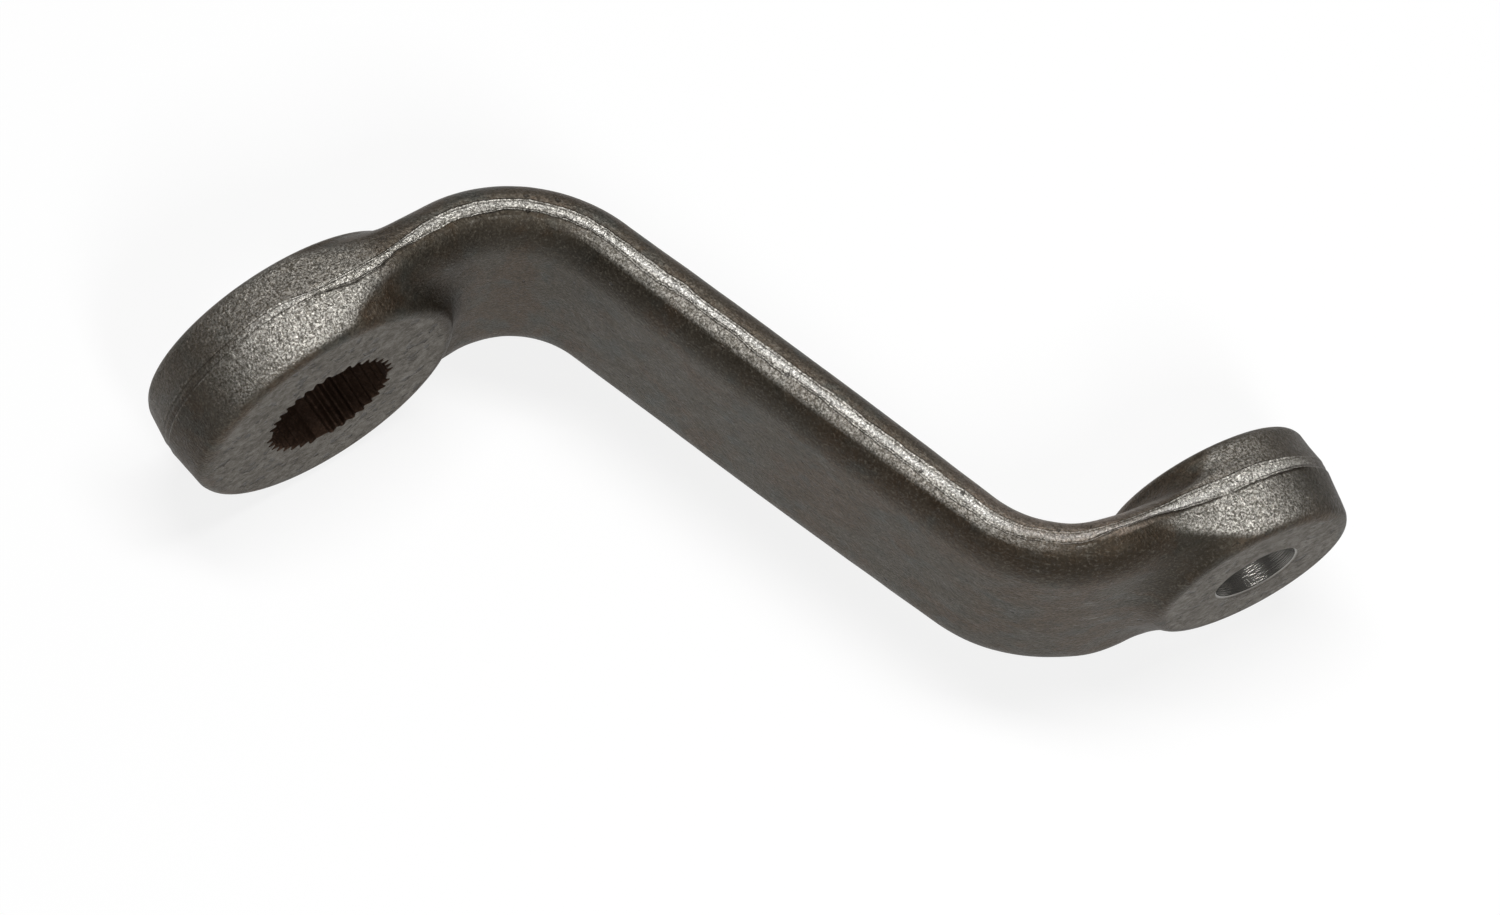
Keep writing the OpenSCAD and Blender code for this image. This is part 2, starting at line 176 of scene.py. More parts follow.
def fall(x, rise, fillet):
    c = 1 - rise / (RIM_R + fillet)
    g = np.where(c <= math.sin(DRAFT), math.pi / 2 - DRAFT, np.arccos(np.clip(c, -1, 1)))
    rim_end = RIM_R * np.sin(g)
    wall_fall = np.maximum(0, rise - (RIM_R + fillet) * (1 - np.cos(g)))
    wall_end = rim_end + wall_fall / np.tan(g)
    back = wall_end + fillet * np.sin(g) - x
    return np.select(
        [x <= 0, x < rim_end, x < wall_end, back > 0],
        [0 * x, RIM_R - np.sqrt(np.maximum(0, RIM_R * RIM_R - x * x)),
         RIM_R * (1 - np.cos(g)) + (x - rim_end) * np.tan(g),
         rise - fillet + np.sqrt(np.maximum(0, fillet ** 2 - back * back))],
        rise)


def depth_at(s, t):
    between = (half_width(s) - np.abs(t)) / np.sqrt(1 + half_slope(s) ** 2)
    return np.where(s < 0, SHAFT_R - np.hypot(s, t), np.where(s > END, STUD_R - np.hypot(s - END, t), between))


def inward(s, t):
    """Direction from the nearest outline into the part, in the flat."""
    slope = half_slope(s)
    l = np.sqrt(1 + slope ** 2)
    r1, r2 = np.hypot(s, t) + 1e-9, np.hypot(s - END, t) + 1e-9
    ds = np.where(s < 0, -s / r1, np.where(s > END, -(s - END) / r2, slope / l))
    dt = np.where(s < 0, -t / r1, np.where(s > END, -t / r2, -np.sign(t) / l))
    return ds, dt


def by_eye(s, table, side):
    return np.where(s < MIDDLE, table[(0, side)], table[(1, side)])


def forged_height(s, t, side):
    top = by_eye(s, TOPS, side)
    d = depth_at(s, t)
    web = edge_height(d, web_half(s), EDGE_RISE, EDGE_RUN)
    radius = np.where(s < MIDDLE, SHAFT_R, STUD_R)
    x = np.hypot(s - np.where(s < MIDDLE, 0, END), t) - (radius - edge_depth(top, RIM_R, RIM_R))
    stand = top - fall(x, top - web, by_eye(s, FILLETS, side))
    return np.minimum(stand, edge_height(d, top, RIM_R, RIM_R))


# ---------------------------------------------------------------------------
# Smooth repeatable noise, for unevenness in the mesh itself
# ---------------------------------------------------------------------------
def lattice(ix, iy, iz, seed):
    h = (ix * 73856093) ^ (iy * 19349663) ^ (iz * 83492791) ^ (seed * 2654435761)
    h = (h & 0xFFFFFFFF).astype(np.uint64)
    h = ((h ^ (h >> 15)) * np.uint64(2246822519)) & np.uint64(0xFFFFFFFF)
    h = ((h ^ (h >> 13)) * np.uint64(3266489917)) & np.uint64(0xFFFFFFFF)
    return ((h ^ (h >> 16)) & np.uint64(0xFFFFFF)).astype(float) / float(0xFFFFFF)


def noise(p, size, seed=0):
    """Value noise from -1 to 1 at points p, with features of that size."""
    q = p / size
    i = np.floor(q).astype(np.int64)
    f = q - i
    w = f * f * f * (f * (f * 6 - 15) + 10)
    out = 0
    for dx in (0, 1):
        for dy in (0, 1):
            for dz in (0, 1):
                weight = ((w[..., 0] if dx else 1 - w[..., 0]) * (w[..., 1] if dy else 1 - w[..., 1])
                          * (w[..., 2] if dz else 1 - w[..., 2]))
                out = out + weight * lattice(i[..., 0] + dx, i[..., 1] + dy, i[..., 2] + dz, seed)
    return out * 2 - 1


# ---------------------------------------------------------------------------
# Mesh of the arm
# ---------------------------------------------------------------------------
STEP = 0.8
ROW_WALL = 5
ROW_ROUND = 10
ROW_TOP = 34
RINGS = 34
SAMPLES = 260
SHAFT_JOIN = SHAFT_R + 7.5
STUD_JOIN = END - STUD_R - 12.0

arc0 = np.linspace(180, 90, int(SHAFT_R * math.pi / 2 / STEP))[:-1] * DEG
sides0 = np.linspace(0, SHAFT_JOIN, int(SHAFT_JOIN / STEP))[:-1]
web_s = np.linspace(SHAFT_JOIN, STUD_JOIN, int((STUD_JOIN - SHAFT_JOIN) / (STEP * 0.95)))
sides1 = np.linspace(STUD_JOIN, END, int((END - STUD_JOIN) / STEP))[1:]
arc1 = np.linspace(90, 180, int(STUD_R * math.pi / 2 / STEP))[1:] * DEG
straight = np.concatenate([sides0, web_s, sides1])
half_loop = np.concatenate([
    np.stack([SHAFT_R * np.cos(arc0), SHAFT_R * np.sin(arc0)], 1),
    np.stack([straight, half_width(straight)], 1),
    np.stack([END - STUD_R * np.cos(arc1), STUD_R * np.sin(arc1)], 1),
])
HALF = len(half_loop)
FIRST = len(arc0) + len(sides0)
LAST = FIRST + len(web_s) - 1
loop = np.concatenate([half_loop, half_loop[-2:0:-1] * [1, -1]])
LOOP = len(loop)


def row_flat(index, side):
    """One row across the web, from the positive edge to the negative one."""
    s, t = half_loop[index]
    ds, dt = inward(np.array([s]), np.array([t]))
    top = float(web_half(np.array([s]))[0])
    wall, inner = wall_depth(top, EDGE_RISE), edge_depth(top, EDGE_RISE, EDGE_RUN)
    angles = np.linspace(DRAFT, math.pi / 2, ROW_ROUND + 1)
    d = np.concatenate([np.linspace(0, wall, ROW_WALL + 1)[:-1], inner - EDGE_RUN * np.cos(angles)])
    edge = np.stack([s + ds[0] * d, t + dt[0] * d], 1)
    a = edge[-1]
    u = np.linspace(0, 1, ROW_TOP + 1)[1:-1, None]
    top_line = mix(a, a * [1, -1], u)
    flat = np.concatenate([edge, top_line, edge[::-1] * [1, -1]])
    z = forged_height(flat[:, 0], flat[:, 1], side)
    z[0] = z[-1] = LAND
    return np.column_stack([flat, z])


def eye_rays(eye, side, rows):
    """Points of an eye: rays from the start of its rim to the outline or to the web's end row."""
    centre, radius = (0.0, SHAFT_R) if eye == 0 else (END, STUD_R)
    if eye == 0:
        back = [(LOOP - FIRST + i) % LOOP for i in range(2 * FIRST + 1)]
        row = rows[0]
    else:
        back = list(range(LAST, LOOP - LAST + 1))
        row = rows[-1][::-1]
    ends = np.concatenate([np.column_stack([loop[back], np.full(len(back), LAND)]), row[1:-1]])
    rim = radius - edge_depth(TOPS[(eye, side)], RIM_R, RIM_R)
    v = ends[:, :2] - [centre, 0]
    length = np.hypot(v[:, 0], v[:, 1])
    u = rim / length[:, None] + (1 - rim / length[:, None]) * np.linspace(0, 1, SAMPLES + 1)[None]
    s, t = centre + v[:, :1] * u, v[:, 1:] * u
    z = forged_height(s, t, side)
    z[:, -1] = ends[:, 2]
    run = np.diff(u, axis=1) * length[:, None]
    drop = np.diff(z, axis=1)
    turn = np.abs(np.diff(np.arctan2(drop, run), axis=1, prepend=0))
    turn[:, 0] = 0
    way = np.concatenate([np.zeros((len(u), 1)), np.cumsum(np.hypot(run, drop) + 1.6 * np.abs(drop) + 0.9 * turn, 1)], 1)
    grid = np.empty((RINGS + 1, len(u), 3))
    for i in range(len(u)):
        at = np.linspace(0, way[i, -1], RINGS + 1)
        k = np.interp(at, way[i], u[i])
        grid[:, i, 0] = centre + v[i, 0] * k
        grid[:, i, 1] = v[i, 1] * k
        grid[:, i, 2] = np.interp(at, way[i], z[i])
    return grid, back


class Skin:
    def __init__(self):
        self.parts, self.tags, self.faces, self.count = [], [], [], 0

    def add(self, points, tag):
        """Adds points [s, t, n] and returns their numbers, in the same grid."""
        shape = points.shape[:-1]
        ids = np.arange(self.count, self.count + int(np.prod(shape))).reshape(shape)
        self.parts.append(points.reshape(-1, 3))
        self.tags.append(np.full(ids.size, tag))
        self.count += ids.size
        return ids

    def grid(self, ids, flip):
        a, b, c, d = ids[:-1, :-1], ids[:-1, 1:], ids[1:, 1:], ids[1:, :-1]
        quads = np.stack([a, b, c, d] if flip else [d, c, b, a], -1).reshape(-1, 4)
        self.faces += [tuple(q) for q in quads.tolist()]

    def zipper(self, outer, inner, outer_angle, inner_angle, flip):
        """Joins two closed loops that run the same way round."""
        i = j = 0
        n, m = len(outer), len(inner)
        while i < n or j < m:
            oa = outer_angle[i + 1] if i < n else 1e9
            ia = inner_angle[j + 1] if j < m else 1e9
            if oa <= ia:
                f = (outer[i % n], outer[(i + 1) % n], inner[j % m])
                i += 1
            else:
                f = (outer[i % n], inner[(j + 1) % m], inner[j % m])
                j += 1
            self.faces.append(f if flip else f[::-1])


def closed(ids):
    return np.concatenate([ids, ids[..., :1]], -1)


def serrations(y):
    """The bore's outline at depth n, in the flat: groove bottoms, flanks and crests."""
    scale = (SERRATION_R + SHAFT_TAPER / 2 * (TOPS[(0, NUT)] - y)) / SERRATION_R
    crest = SERRATION_R - SERRATION_DEPTH
    pts = []
    for i in range(PITCHES):
        if i % (PITCHES // 4) == 0:
            shape = [(crest, a) for a in (-0.42, -0.28, -0.14, 0, 0.14, 0.28, 0.42)]
        else:
            shape = [(crest, -0.42), (crest + 0.5, -0.29), (SERRATION_R - 0.12, -0.135), (SERRATION_R, -0.08),
                     (SERRATION_R, 0.08), (SERRATION_R - 0.12, 0.135), (crest + 0.5, 0.29), (crest, 0.42)]
        for r, a in shape:
            angle = -(BLANK_TURN + (i + a) * 360 / PITCHES) * DEG
            pts.append((r * scale, angle))
    pts = np.array(pts)
    pts = pts[::-1]
    return pts


def hump(x, a, b, c, d):
    """Rises from 0 at a to 1 at b, and falls from 1 at c to 0 at d."""
    return ease(x, a, b) * (1 - ease(x, c, d))


def land_shift(s, side):
    """How far trimming moved the land's border from where the dies met, along n."""
    if side == NUT:
        return 1.9 * hump(s, 2, 12, 15, 25) - 1.1 * hump(s, 195, 205, 214, 226)
    return 1.8 * hump(s, -8, 5, 18, 34) - 1.0 * hump(s, 214, 226, 240, 256)


def land_step(s, side):
    """Height of the step from the land down to the wall, where it was trimmed proud."""
    web = 0.05 * hump(s, 28, 40, 196, 206) + 0.20 * hump(s, 40, 48, 62, 80)
    if side == NUT:
        return web + 0.42 * hump(s, -3, 6, 22, 30) + 0.42 * hump(s, 206, 216, 226, 231) + 0.42 * hump(s, 232, 236, 248, 254)
    return 0.5 * web + 0.42 * hump(s, -4, 8, 26, 34) + 0.34 * hump(s, 212, 224, 240, 250)


def land_tear(p, s):
    """How far the trimmed land's border wanders, at flat points p; less on the gear side."""
    bite = np.clip(noise(p, 5.5, 7) - 0.35, 0, 1) * 1.1
    loose = 0.35 + 0.9 * hump(s, 30, 45, 180, 200)
    return loose * np.where(p[..., 2] > 0, 1, 0.45) * (0.34 * noise(p, 9, 3) + 0.26 * noise(p, 2.6, 4) + 0.14 * noise(p, 1.1, 5) + bite)


def side_finish(points, side):
    """Turns heights over the parting surface into n, with a torn ledge under the land."""
    s, t, z = points[..., 0].copy(), points[..., 1].copy(), points[..., 2].copy()
    d = depth_at(s, t)
    here = np.stack([s, t, np.full_like(s, 9.0 * side)], -1)
    above = np.maximum(0, z - LAND)
    near = 1 - ease(d, 0.7, 2.2)
    w = np.exp(-above / 1.3) * near
    broad = np.exp(-(above / 3.6) ** 2) * near
    z = z + w * (land_tear(here, s) + 0.1) + broad * side * land_shift(s, side)
    ds, dt = inward(s, t)
    ledge = land_step(s, side) * (1 + 0.9 * noise(here, 5.0, 11))
    push = ledge * np.exp(-above / 2.2) * (1 - ease(d, 0.8, 2.6))
    s, t = s + ds * push, t + dt * push
    sink = LAND_DROP * ease(s, BEND2_FROM, BEND2_TO) * np.clip(1 - above / (web_half(s) - LAND), 0, 1)
    return np.stack([s, t, side * z - sink], -1)


def build_arm():
    skin = Skin()
    corners = {}
    bores = {}
    for side in (NUT, GEAR):
        flip = side == GEAR
        rows = np.stack([row_flat(i, side) for i in range(FIRST, LAST + 1)])
        ledge_ids = skin.add(side_finish(np.column_stack([loop, np.full(LOOP, LAND)]), side), 0)
        inner = skin.add(side_finish(rows[:, 1:-1], side), 0)
        first = ledge_ids[FIRST:LAST + 1, None]
        last = ledge_ids[(LOOP - np.arange(FIRST, LAST + 1)) % LOOP][:, None]
        row_ids = np.concatenate([first, inner, last], 1)
        skin.grid(row_ids, flip)
        for eye in (0, 1):
            grid, back = eye_rays(eye, side, rows)
            top = TOPS[(eye, side)]
            centre = 0.0 if eye == 0 else END
            rim_ids = skin.add(side_finish(grid[:-1], side), 0)
            row_part = row_ids[0, 1:-1] if eye == 0 else row_ids[-1, 1:-1][::-1]
            outer = np.concatenate([ledge_ids[back], row_part])
            ids = np.concatenate([rim_ids, outer[None]])
            skin.grid(closed(ids)[::-1], flip)
            # The flat face, from the rim in to the bore
            hole = centre + (0 if eye == 0 else HOLE_OFFSET)
            hole_r = SERRATION_R + 0.9 if eye == 0 else HOLE_R + 0.95
            rim = grid[0]
            angle = np.arctan2(rim[:, 1], rim[:, 0] - hole)
            target = np.column_stack([hole + hole_r * np.cos(angle), hole_r * np.sin(angle)])
            count = 14 if eye == 0 else 12
            u = np.linspace(0, 1, count + 1)[1:, None, None]
            flat = mix(rim[None, :, :2], target[None], u)
            face = np.concatenate([flat, np.full(flat.shape[:2] + (1,), top * side)], -1)
            face_ids = skin.add(face, 1)
            skin.grid(closed(np.concatenate([rim_ids[:1], face_ids]))[::1], flip)
            # The bore's mouth
            if eye == 0:
                outline = serrations(top * side)
                mouth = outline + [0.12, 0]
                ring = np.column_stack([mouth[:, 0] * np.cos(mouth[:, 1]), mouth[:, 0] * np.sin(mouth[:, 1])])
                ring_angle = mouth[:, 1]
            else:
                ring_angle = np.linspace(0, 2 * math.pi, 144, endpoint=False)
                r = HOLE_R - HOLE_TAPER / 2 * (TOPS[(1, NUT)] - top * side) + 0.5
                ring = np.column_stack([hole + r * np.cos(ring_angle), r * np.sin(ring_angle)])
            ring_ids = skin.add(np.column_stack([ring, np.full(len(ring), top * side)]), 1)
            oa = np.unwrap(np.arctan2(target[:, 1], target[:, 0] - hole))
            way = 1 if oa[-1] > oa[0] else -1
            ra = np.unwrap(ring_angle)
            ring_order = np.arange(len(ra))
            if (ra[-1] > ra[0]) != (way > 0):
                ring_order = ring_order[::-1]
            ra = ra[ring_order]
            start = np.argmin(np.abs(np.angle(np.exp(1j * (ra - oa[0])))))
            ring_order = np.roll(ring_order, -start)
            ra = np.unwrap(ring_angle[ring_order]) * way
            oa = oa * way
            ra = ra - 2 * math.pi * round((ra[0] - oa[0]) / (2 * math.pi))
            oa = np.append(oa, oa[0] + 2 * math.pi)
            ra = np.append(ra, ra[0] + 2 * math.pi)
            skin.zipper(face_ids[-1], ring_ids[ring_order], oa, ra, flip)
            bores[(eye, side)] = ring_ids
        # The land's corner, just outside the ledge
        p = np.column_stack([loop, np.full(LOOP, 9.0 * side)])
        z = LAND + land_tear(p, loop[:, 0]) + side * land_shift(loop[:, 0], side)
        sink = LAND_DROP * ease(loop[:, 0], BEND2_FROM, BEND2_TO)
        corner = skin.add(np.column_stack([loop, side * z - sink]), 2)
        skin.grid(closed(np.stack([ledge_ids, corner])), flip)
        corners[side] = corner
    # The land, a sheared band between its two borders
    a = np.concatenate(skin.parts)[corners[NUT]]
    b = np.concatenate(skin.parts)[corners[GEAR]]
    u = np.linspace(0, 1, 8)[1:-1, None, None]
    band = mix(a[None], b[None], u)
    ds, dt = inward(band[..., 0], band[..., 1])
    ridge = 0.5 + 0.12 * noise(np.stack([band[..., 0], band[..., 1], 0 * band[..., 0]], -1), 14, 23)
    rough = 0.16 * np.abs(u[..., 0] - ridge) * 2 + 0.05 * (1 + noise(band, 1.1, 22)) * np.sin(np.pi * u[..., 0])
    band[..., 0] += ds * rough
    band[..., 1] += dt * rough
    band_ids = skin.add(band, 2)
    skin.grid(closed(np.concatenate([corners[NUT][None], band_ids, corners[GEAR][None]])), False)
    # Bore walls
    levels = np.concatenate([[0.12], np.linspace(0.8, 22.2, 14), [22.88]])
    walls = []
    for y in levels:
        n = TOPS[(0, NUT)] - y
        o = serrations(n)
        walls.append(np.column_stack([o[:, 0] * np.cos(o[:, 1]), o[:, 0] * np.sin(o[:, 1]), np.full(len(o), n)]))
    wall_ids = skin.add(np.stack(walls), 3)
    ids = np.concatenate([bores[(0, NUT)][None], wall_ids, bores[(0, GEAR)][None]])
    skin.grid(closed(ids), False)
    whole = TOPS[(1, NUT)] + TOPS[(1, GEAR)]
    levels = np.concatenate([[0.5], np.linspace(1.5, whole - 1.5, 14), [whole - 0.5]])
    angle = np.linspace(0, 2 * math.pi, 144, endpoint=False)
    walls = []
    for y in levels:
        r = HOLE_R - HOLE_TAPER / 2 * y
        walls.append(np.column_stack([END + HOLE_OFFSET + r * np.cos(angle), r * np.sin(angle),
                                      np.full(len(angle), TOPS[(1, NUT)] - y)]))
    wall_ids = skin.add(np.stack(walls), 4)
    ids = np.concatenate([bores[(1, NUT)][None], wall_ids, bores[(1, GEAR)][None]])
    skin.grid(closed(ids), True)
    return skin


skin = build_arm()
flat = np.concatenate(skin.parts)
tag = np.concatenate(skin.tags)
flat_d = depth_at(flat[:, 0], flat[:, 1])
side_of = np.where(flat[:, 2] > 0, NUT, GEAR)
face_height = np.where(side_of == NUT, by_eye(flat[:, 0], TOPS, NUT), by_eye(flat[:, 0], TOPS, GEAR))
below_face = face_height - np.abs(flat[:, 2])
points = bent(flat) / 1000

mesh = bpy.data.meshes.new("pitman_arm_forged")
mesh.from_pydata(points.tolist(), [], skin.faces)
shell = bmesh.new()
shell.from_mesh(mesh)
bmesh.ops.recalc_face_normals(shell, faces=shell.faces)
shell.to_mesh(mesh)
shell.free()
mesh.update()
arm = bpy.data.objects.new("pitman_arm_forged", mesh)
bpy.context.scene.collection.objects.link(arm)


def convexity(mesh, points):
    """How much each corner of the mesh stands proud of its neighbours, per mm."""
    edges = np.empty(len(mesh.edges) * 2, np.int32)
    mesh.edges.foreach_get("vertices", edges)
    a, b = edges.reshape(-1, 2).T
    normals = np.empty(len(points) * 3)
    mesh.vertex_normals.foreach_get("vector", normals)
    normals = normals.reshape(-1, 3)
    total, count = np.zeros(len(points)), np.zeros(len(points))
    step = (points[b] - points[a]) * 1000
    length = (step ** 2).sum(1) + 1e-6
    np.add.at(total, a, -(normals[a] * step).sum(1) / length)
    np.add.at(total, b, (normals[b] * step).sum(1) / length)
    np.add.at(count, a, 1)
    np.add.at(count, b, 1)
    return total / np.maximum(count, 1)


def give(name, value):
    attribute = mesh.attributes.new(name, "FLOAT", "POINT")
    attribute.data.foreach_set("value", np.ascontiguousarray(value, np.float32))


# The forging isn't quite even: shallow waves and dents, always inwards
normals = np.empty(len(points) * 3)
mesh.vertex_normals.foreach_get("vector", normals)
wave = 0.16 * (1 + noise(flat, 19, 31)) + 0.07 * (1 + noise(flat, 6.5, 32)) + 0.035 * (1 + noise(flat, 2.6, 33))
wave = wave * ease(below_face, 0.1, 1.6) * np.isin(tag, (0, 2)) * 0.5
points = points - normals.reshape(-1, 3) * wave[:, None] / 1000
mesh.vertices.foreach_set("co", points.ravel())
mesh.update()

s_at = flat[:, 0]
on_back = 1 - hump(s_at, -22, -2, 243, 259)
# Bare walls beside the land, partly painted highlight: the patches sit where the light falls, stronger on the nut side
# than on the gear side
bare_wall_and_highlight = np.where(
    side_of == NUT,
    np.maximum.reduce([hump(s_at, -30, -4, 7, 25), 0.5 * hump(s_at, 58, 80, 168, 200), hump(s_at, 212, 227, 232, 254)]),
    np.maximum.reduce([0.45 * hump(s_at, -30, -8, 10, 26), 0.42 * hump(s_at, 218, 230, 238, 254), 0.08 + 0 * s_at]))
bend = convexity(mesh, points)
give("land", (tag == 2) * (1 - on_back) * (1 - 0.68 * hump(s_at, 172, 186, 208, 222)))
# Painted highlight: a bright line along the middle of the land, where the dies met, strongest along the web
parting = -LAND_DROP * ease(s_at, BEND2_FROM, BEND2_TO) + 0.3 * noise(flat * [1, 1, 0], 14, 23)
give("ridge", (tag == 2) * np.exp(-((flat[:, 2] - parting) / 0.55) ** 2) * (0.35 + 0.65 * hump(s_at, 60, 90, 214, 236)) * (1 - on_back))
give("face", tag == 1)
give("bore", tag == 3)
give("hole", tag == 4)
give("proud", np.clip(bend / 0.5, -1, 1))
on_web = hump(s_at, 22, 36, 208, 222)
rim_at = mix(0.9, 0.25, on_web)
give("wall", (1 - ease(flat_d, rim_at, rim_at * 2 + 0.5)) * np.isin(tag, (0, 2)) * bare_wall_and_highlight)
# eye_wall: the walls round both ends of the arm, with coarser grain in the bump and painted shade in the colour
give("eye_wall", (1 - ease(flat_d, 0.9, 2.6)) * (tag != 1) * np.maximum(1 - ease(s_at, 10, 34), ease(s_at, 225, 240) + 0.6 * ease(s_at, 247, 260)))
# Painted shade on the nut side: a dark band under the land along the web, and dark zones beside the shaft eye and the
# stud eye
edge_painted_shade = (1 - ease(flat_d, 3.5, 12)) * on_web * np.where(side_of == NUT, 0.7 + 0.3 * hump(s_at, 176, 192, 214, 230), 0)
give("dark", np.maximum.reduce([edge_painted_shade, 0.85 * hump(s_at, 18, 27, 34, 44) * (side_of == NUT), 0.7 * hump(s_at, 204, 214, 222, 230) * (side_of == NUT)]) * (tag == 0))
give("gear_side", side_of == GEAR)
give("warm_web", (side_of == GEAR) * hump(s_at, 150, 180, 205, 222))
scuffed = hump(s_at, 160, 184, 202, 222) * (1 - ease(np.abs(flat[:, 1] - 4), 6, 20)) * (side_of == NUT)
give("scuffed", 0.25 + 0.75 * scuffed)
flat_attribute = mesh.attributes.new("flat", "FLOAT_VECTOR", "POINT")
flat_attribute.data.foreach_set("vector", flat.astype(np.float32).ravel())
mesh.polygons.foreach_set("use_smooth", np.ones(len(mesh.polygons), bool))
mesh.set_sharp_from_angle(angle=40 * DEG)
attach(arm, "root")
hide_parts("pitman_arm")
print("FORM", len(mesh.vertices), "vertices", sum(len(p.vertices) - 2 for p in mesh.polygons), "triangles")


# ---------------------------------------------------------------------------
# Material: dark oxidised forged steel, bare and grainy where it was trimmed
# ---------------------------------------------------------------------------
class Nodes:
    """Short ways to add shader nodes; every value is a number or another node's output."""

    def __init__(self, name):
        self.material = bpy.data.materials.new(name)
        self.material.use_nodes = True
        self.tree = self.material.node_tree
        self.shader = self.tree.nodes["Principled BSDF"]

    def add(self, kind, inputs, out=0, **settings):
        node = self.tree.nodes.new(kind)
        for key, value in settings.items():
            setattr(node, key, value)
        for key, value in inputs.items():
            self.put(node.inputs[key], value)
        return node.outputs[out]

    def put(self, socket, value):
        if isinstance(value, bpy.types.NodeSocket):
            self.tree.links.new(value, socket)
        else:
            socket.default_value = value

    def attribute(self, name, out="Fac"):
        return self.add("ShaderNodeAttribute", {}, out, attribute_name=name)

    def math(self, operation, a, b=0.0):
        return self.add("ShaderNodeMath", {0: a, 1: b}, operation=operation)

    def scaled(self, vector, by):
        return self.add("ShaderNodeMapping", {"Vector": vector, "Scale": by})

    def noise(self, vector, size, detail=2.0, roughness=0.5, distortion=0.0):
        """Noise of about the given size in mm, from 0 to 1."""
        return self.add("ShaderNodeTexNoise", {
            "Vector": vector, "Scale": 1 / size, "Detail": detail, "Roughness": roughness, "Distortion": distortion})

    def span(self, value, a, b, to_a=0.0, to_b=1.0):
        """Smooth change from to_a to to_b as the value goes from a to b."""
        return self.add("ShaderNodeMapRange", {
            "Value": value, "From Min": a, "From Max": b, "To Min": to_a, "To Max": to_b},
            interpolation_type="SMOOTHSTEP")

    def mix(self, factor, a, b):
        return self.add("ShaderNodeMix", {0: factor, 2: a, 3: b})

    def tint(self, factor, a, b):
        colours = {6: a if isinstance(a, bpy.types.NodeSocket) else (*a, 1),
                   7: b if isinstance(b, bpy.types.NodeSocket) else (*b, 1)}
        return self.add("ShaderNodeMix", {0: factor, **colours}, 2, data_type="RGBA")


SCALE_GREY = (0.074, 0.064, 0.049)
SCALE_BROWN = (0.076, 0.051, 0.032)
SCALE_BLUE = (0.056, 0.062, 0.056)
SCALE_LIGHT = (0.132, 0.117, 0.093)
SCALE_DARK_AND_SHADE = (0.029, 0.022, 0.014)
BARE_DARK = (0.165, 0.153, 0.128)
BARE_LIGHT = (0.82, 0.79, 0.725)
RIDGE_PAINTED_HIGHLIGHT = (0.93, 0.91, 0.87)
FACE_LIGHT = (0.148, 0.134, 0.112)
FACE_DARK = (0.096, 0.083, 0.065)
FACE_STAIN = (0.058, 0.049, 0.038)
SCUFF = (0.26, 0.245, 0.220)
SCALE_WARM = (0.215, 0.165, 0.130)
DIRT_AND_SHADE = (0.028, 0.022, 0.016)

m = Nodes("forged_steel_oxidised")
place = m.attribute("flat", "Vector")
land, face, bore, hole = (m.attribute(n) for n in ("land", "face", "bore", "hole"))
wall, proud = m.attribute("wall"), m.attribute("proud")

# Patches of scale: brown, neutral and bluish grey, from 4 mm to 25 mm across
patches = m.noise(place, 16, 3, 0.55, 0.4)
blotches = m.noise(place, 4.5, 4, 0.65, 0.6)
mottle = m.noise(place, 1.5, 4, 0.7, 0.3)
brown = m.math("MAXIMUM", m.span(patches, 0.45, 0.56), m.math("MULTIPLY", m.attribute("gear_side"), 0.75))
blue = m.span(m.noise(m.scaled(place, (1, 1, 1.3)), 10, 3, 0.6, 0.3), 0.5, 0.66)
scale_colour = m.tint(brown, SCALE_GREY, SCALE_BROWN)
scale_colour = m.tint(m.math("MULTIPLY", blue, 0.8), scale_colour, SCALE_BLUE)
scale_colour = m.tint(m.math("MULTIPLY", m.attribute("warm_web"), 0.8), scale_colour, SCALE_WARM)
scale_colour = m.tint(m.span(blotches, 0.3, 0.75, 0, 0.5), scale_colour, SCALE_LIGHT)
scale_colour = m.tint(m.span(mottle, 0.58, 0.34, 0, 0.6), scale_colour, SCALE_DARK_AND_SHADE)
# Painted shade: the eye walls are darkened where they turn from the light
eye_wall = m.math("MULTIPLY", m.attribute("eye_wall"), m.span(blotches, 0.2, 0.6, 1, 0.7))
# Painted shade: the nut side's band under the land and the zones beside the eyes, tinted dark along with the eye walls
dark = m.math("MAXIMUM", m.math("MULTIPLY", eye_wall, 0.62), m.math("MULTIPLY", m.attribute("dark"), m.span(patches, 0.3, 0.7, 0.85, 0.6)))
scale_colour = m.tint(dark, scale_colour, SCALE_DARK_AND_SHADE)

# Grain of the forged surface, under a millimetre, sharper on bare metal
grain = m.noise(place, 0.62, 3, 0.6, 0.4)
coarse_grain = m.noise(place, 1.15, 3, 0.62, 1.2)
speck = m.span(m.noise(place, 0.5, 3, 0.7), 0.38, 0.66)
scale_colour = m.tint(m.span(grain, 0.36, 0.54, 0.5, 0), scale_colour, SCALE_DARK_AND_SHADE)
scale_colour = m.tint(m.span(grain, 0.54, 0.70, 0, 0.6), scale_colour, SCALE_LIGHT)

# Light scuffs along the arm, in a few places
streaks = m.noise(m.add("ShaderNodeMapping", {"Vector": place, "Rotation": (0, 0, 0.35), "Scale": (0.2, 1, 1)}), 0.55, 3, 0.65, 0.4)
scuffs = m.math("MULTIPLY", m.span(streaks, 0.54, 0.70), m.span(m.noise(place, 5, 2, 0.6, 0.5), 0.42, 0.62))
scale_colour = m.tint(m.math("MULTIPLY", scuffs, m.math("MULTIPLY", m.attribute("scuffed"), 0.55)), scale_colour, SCUFF)

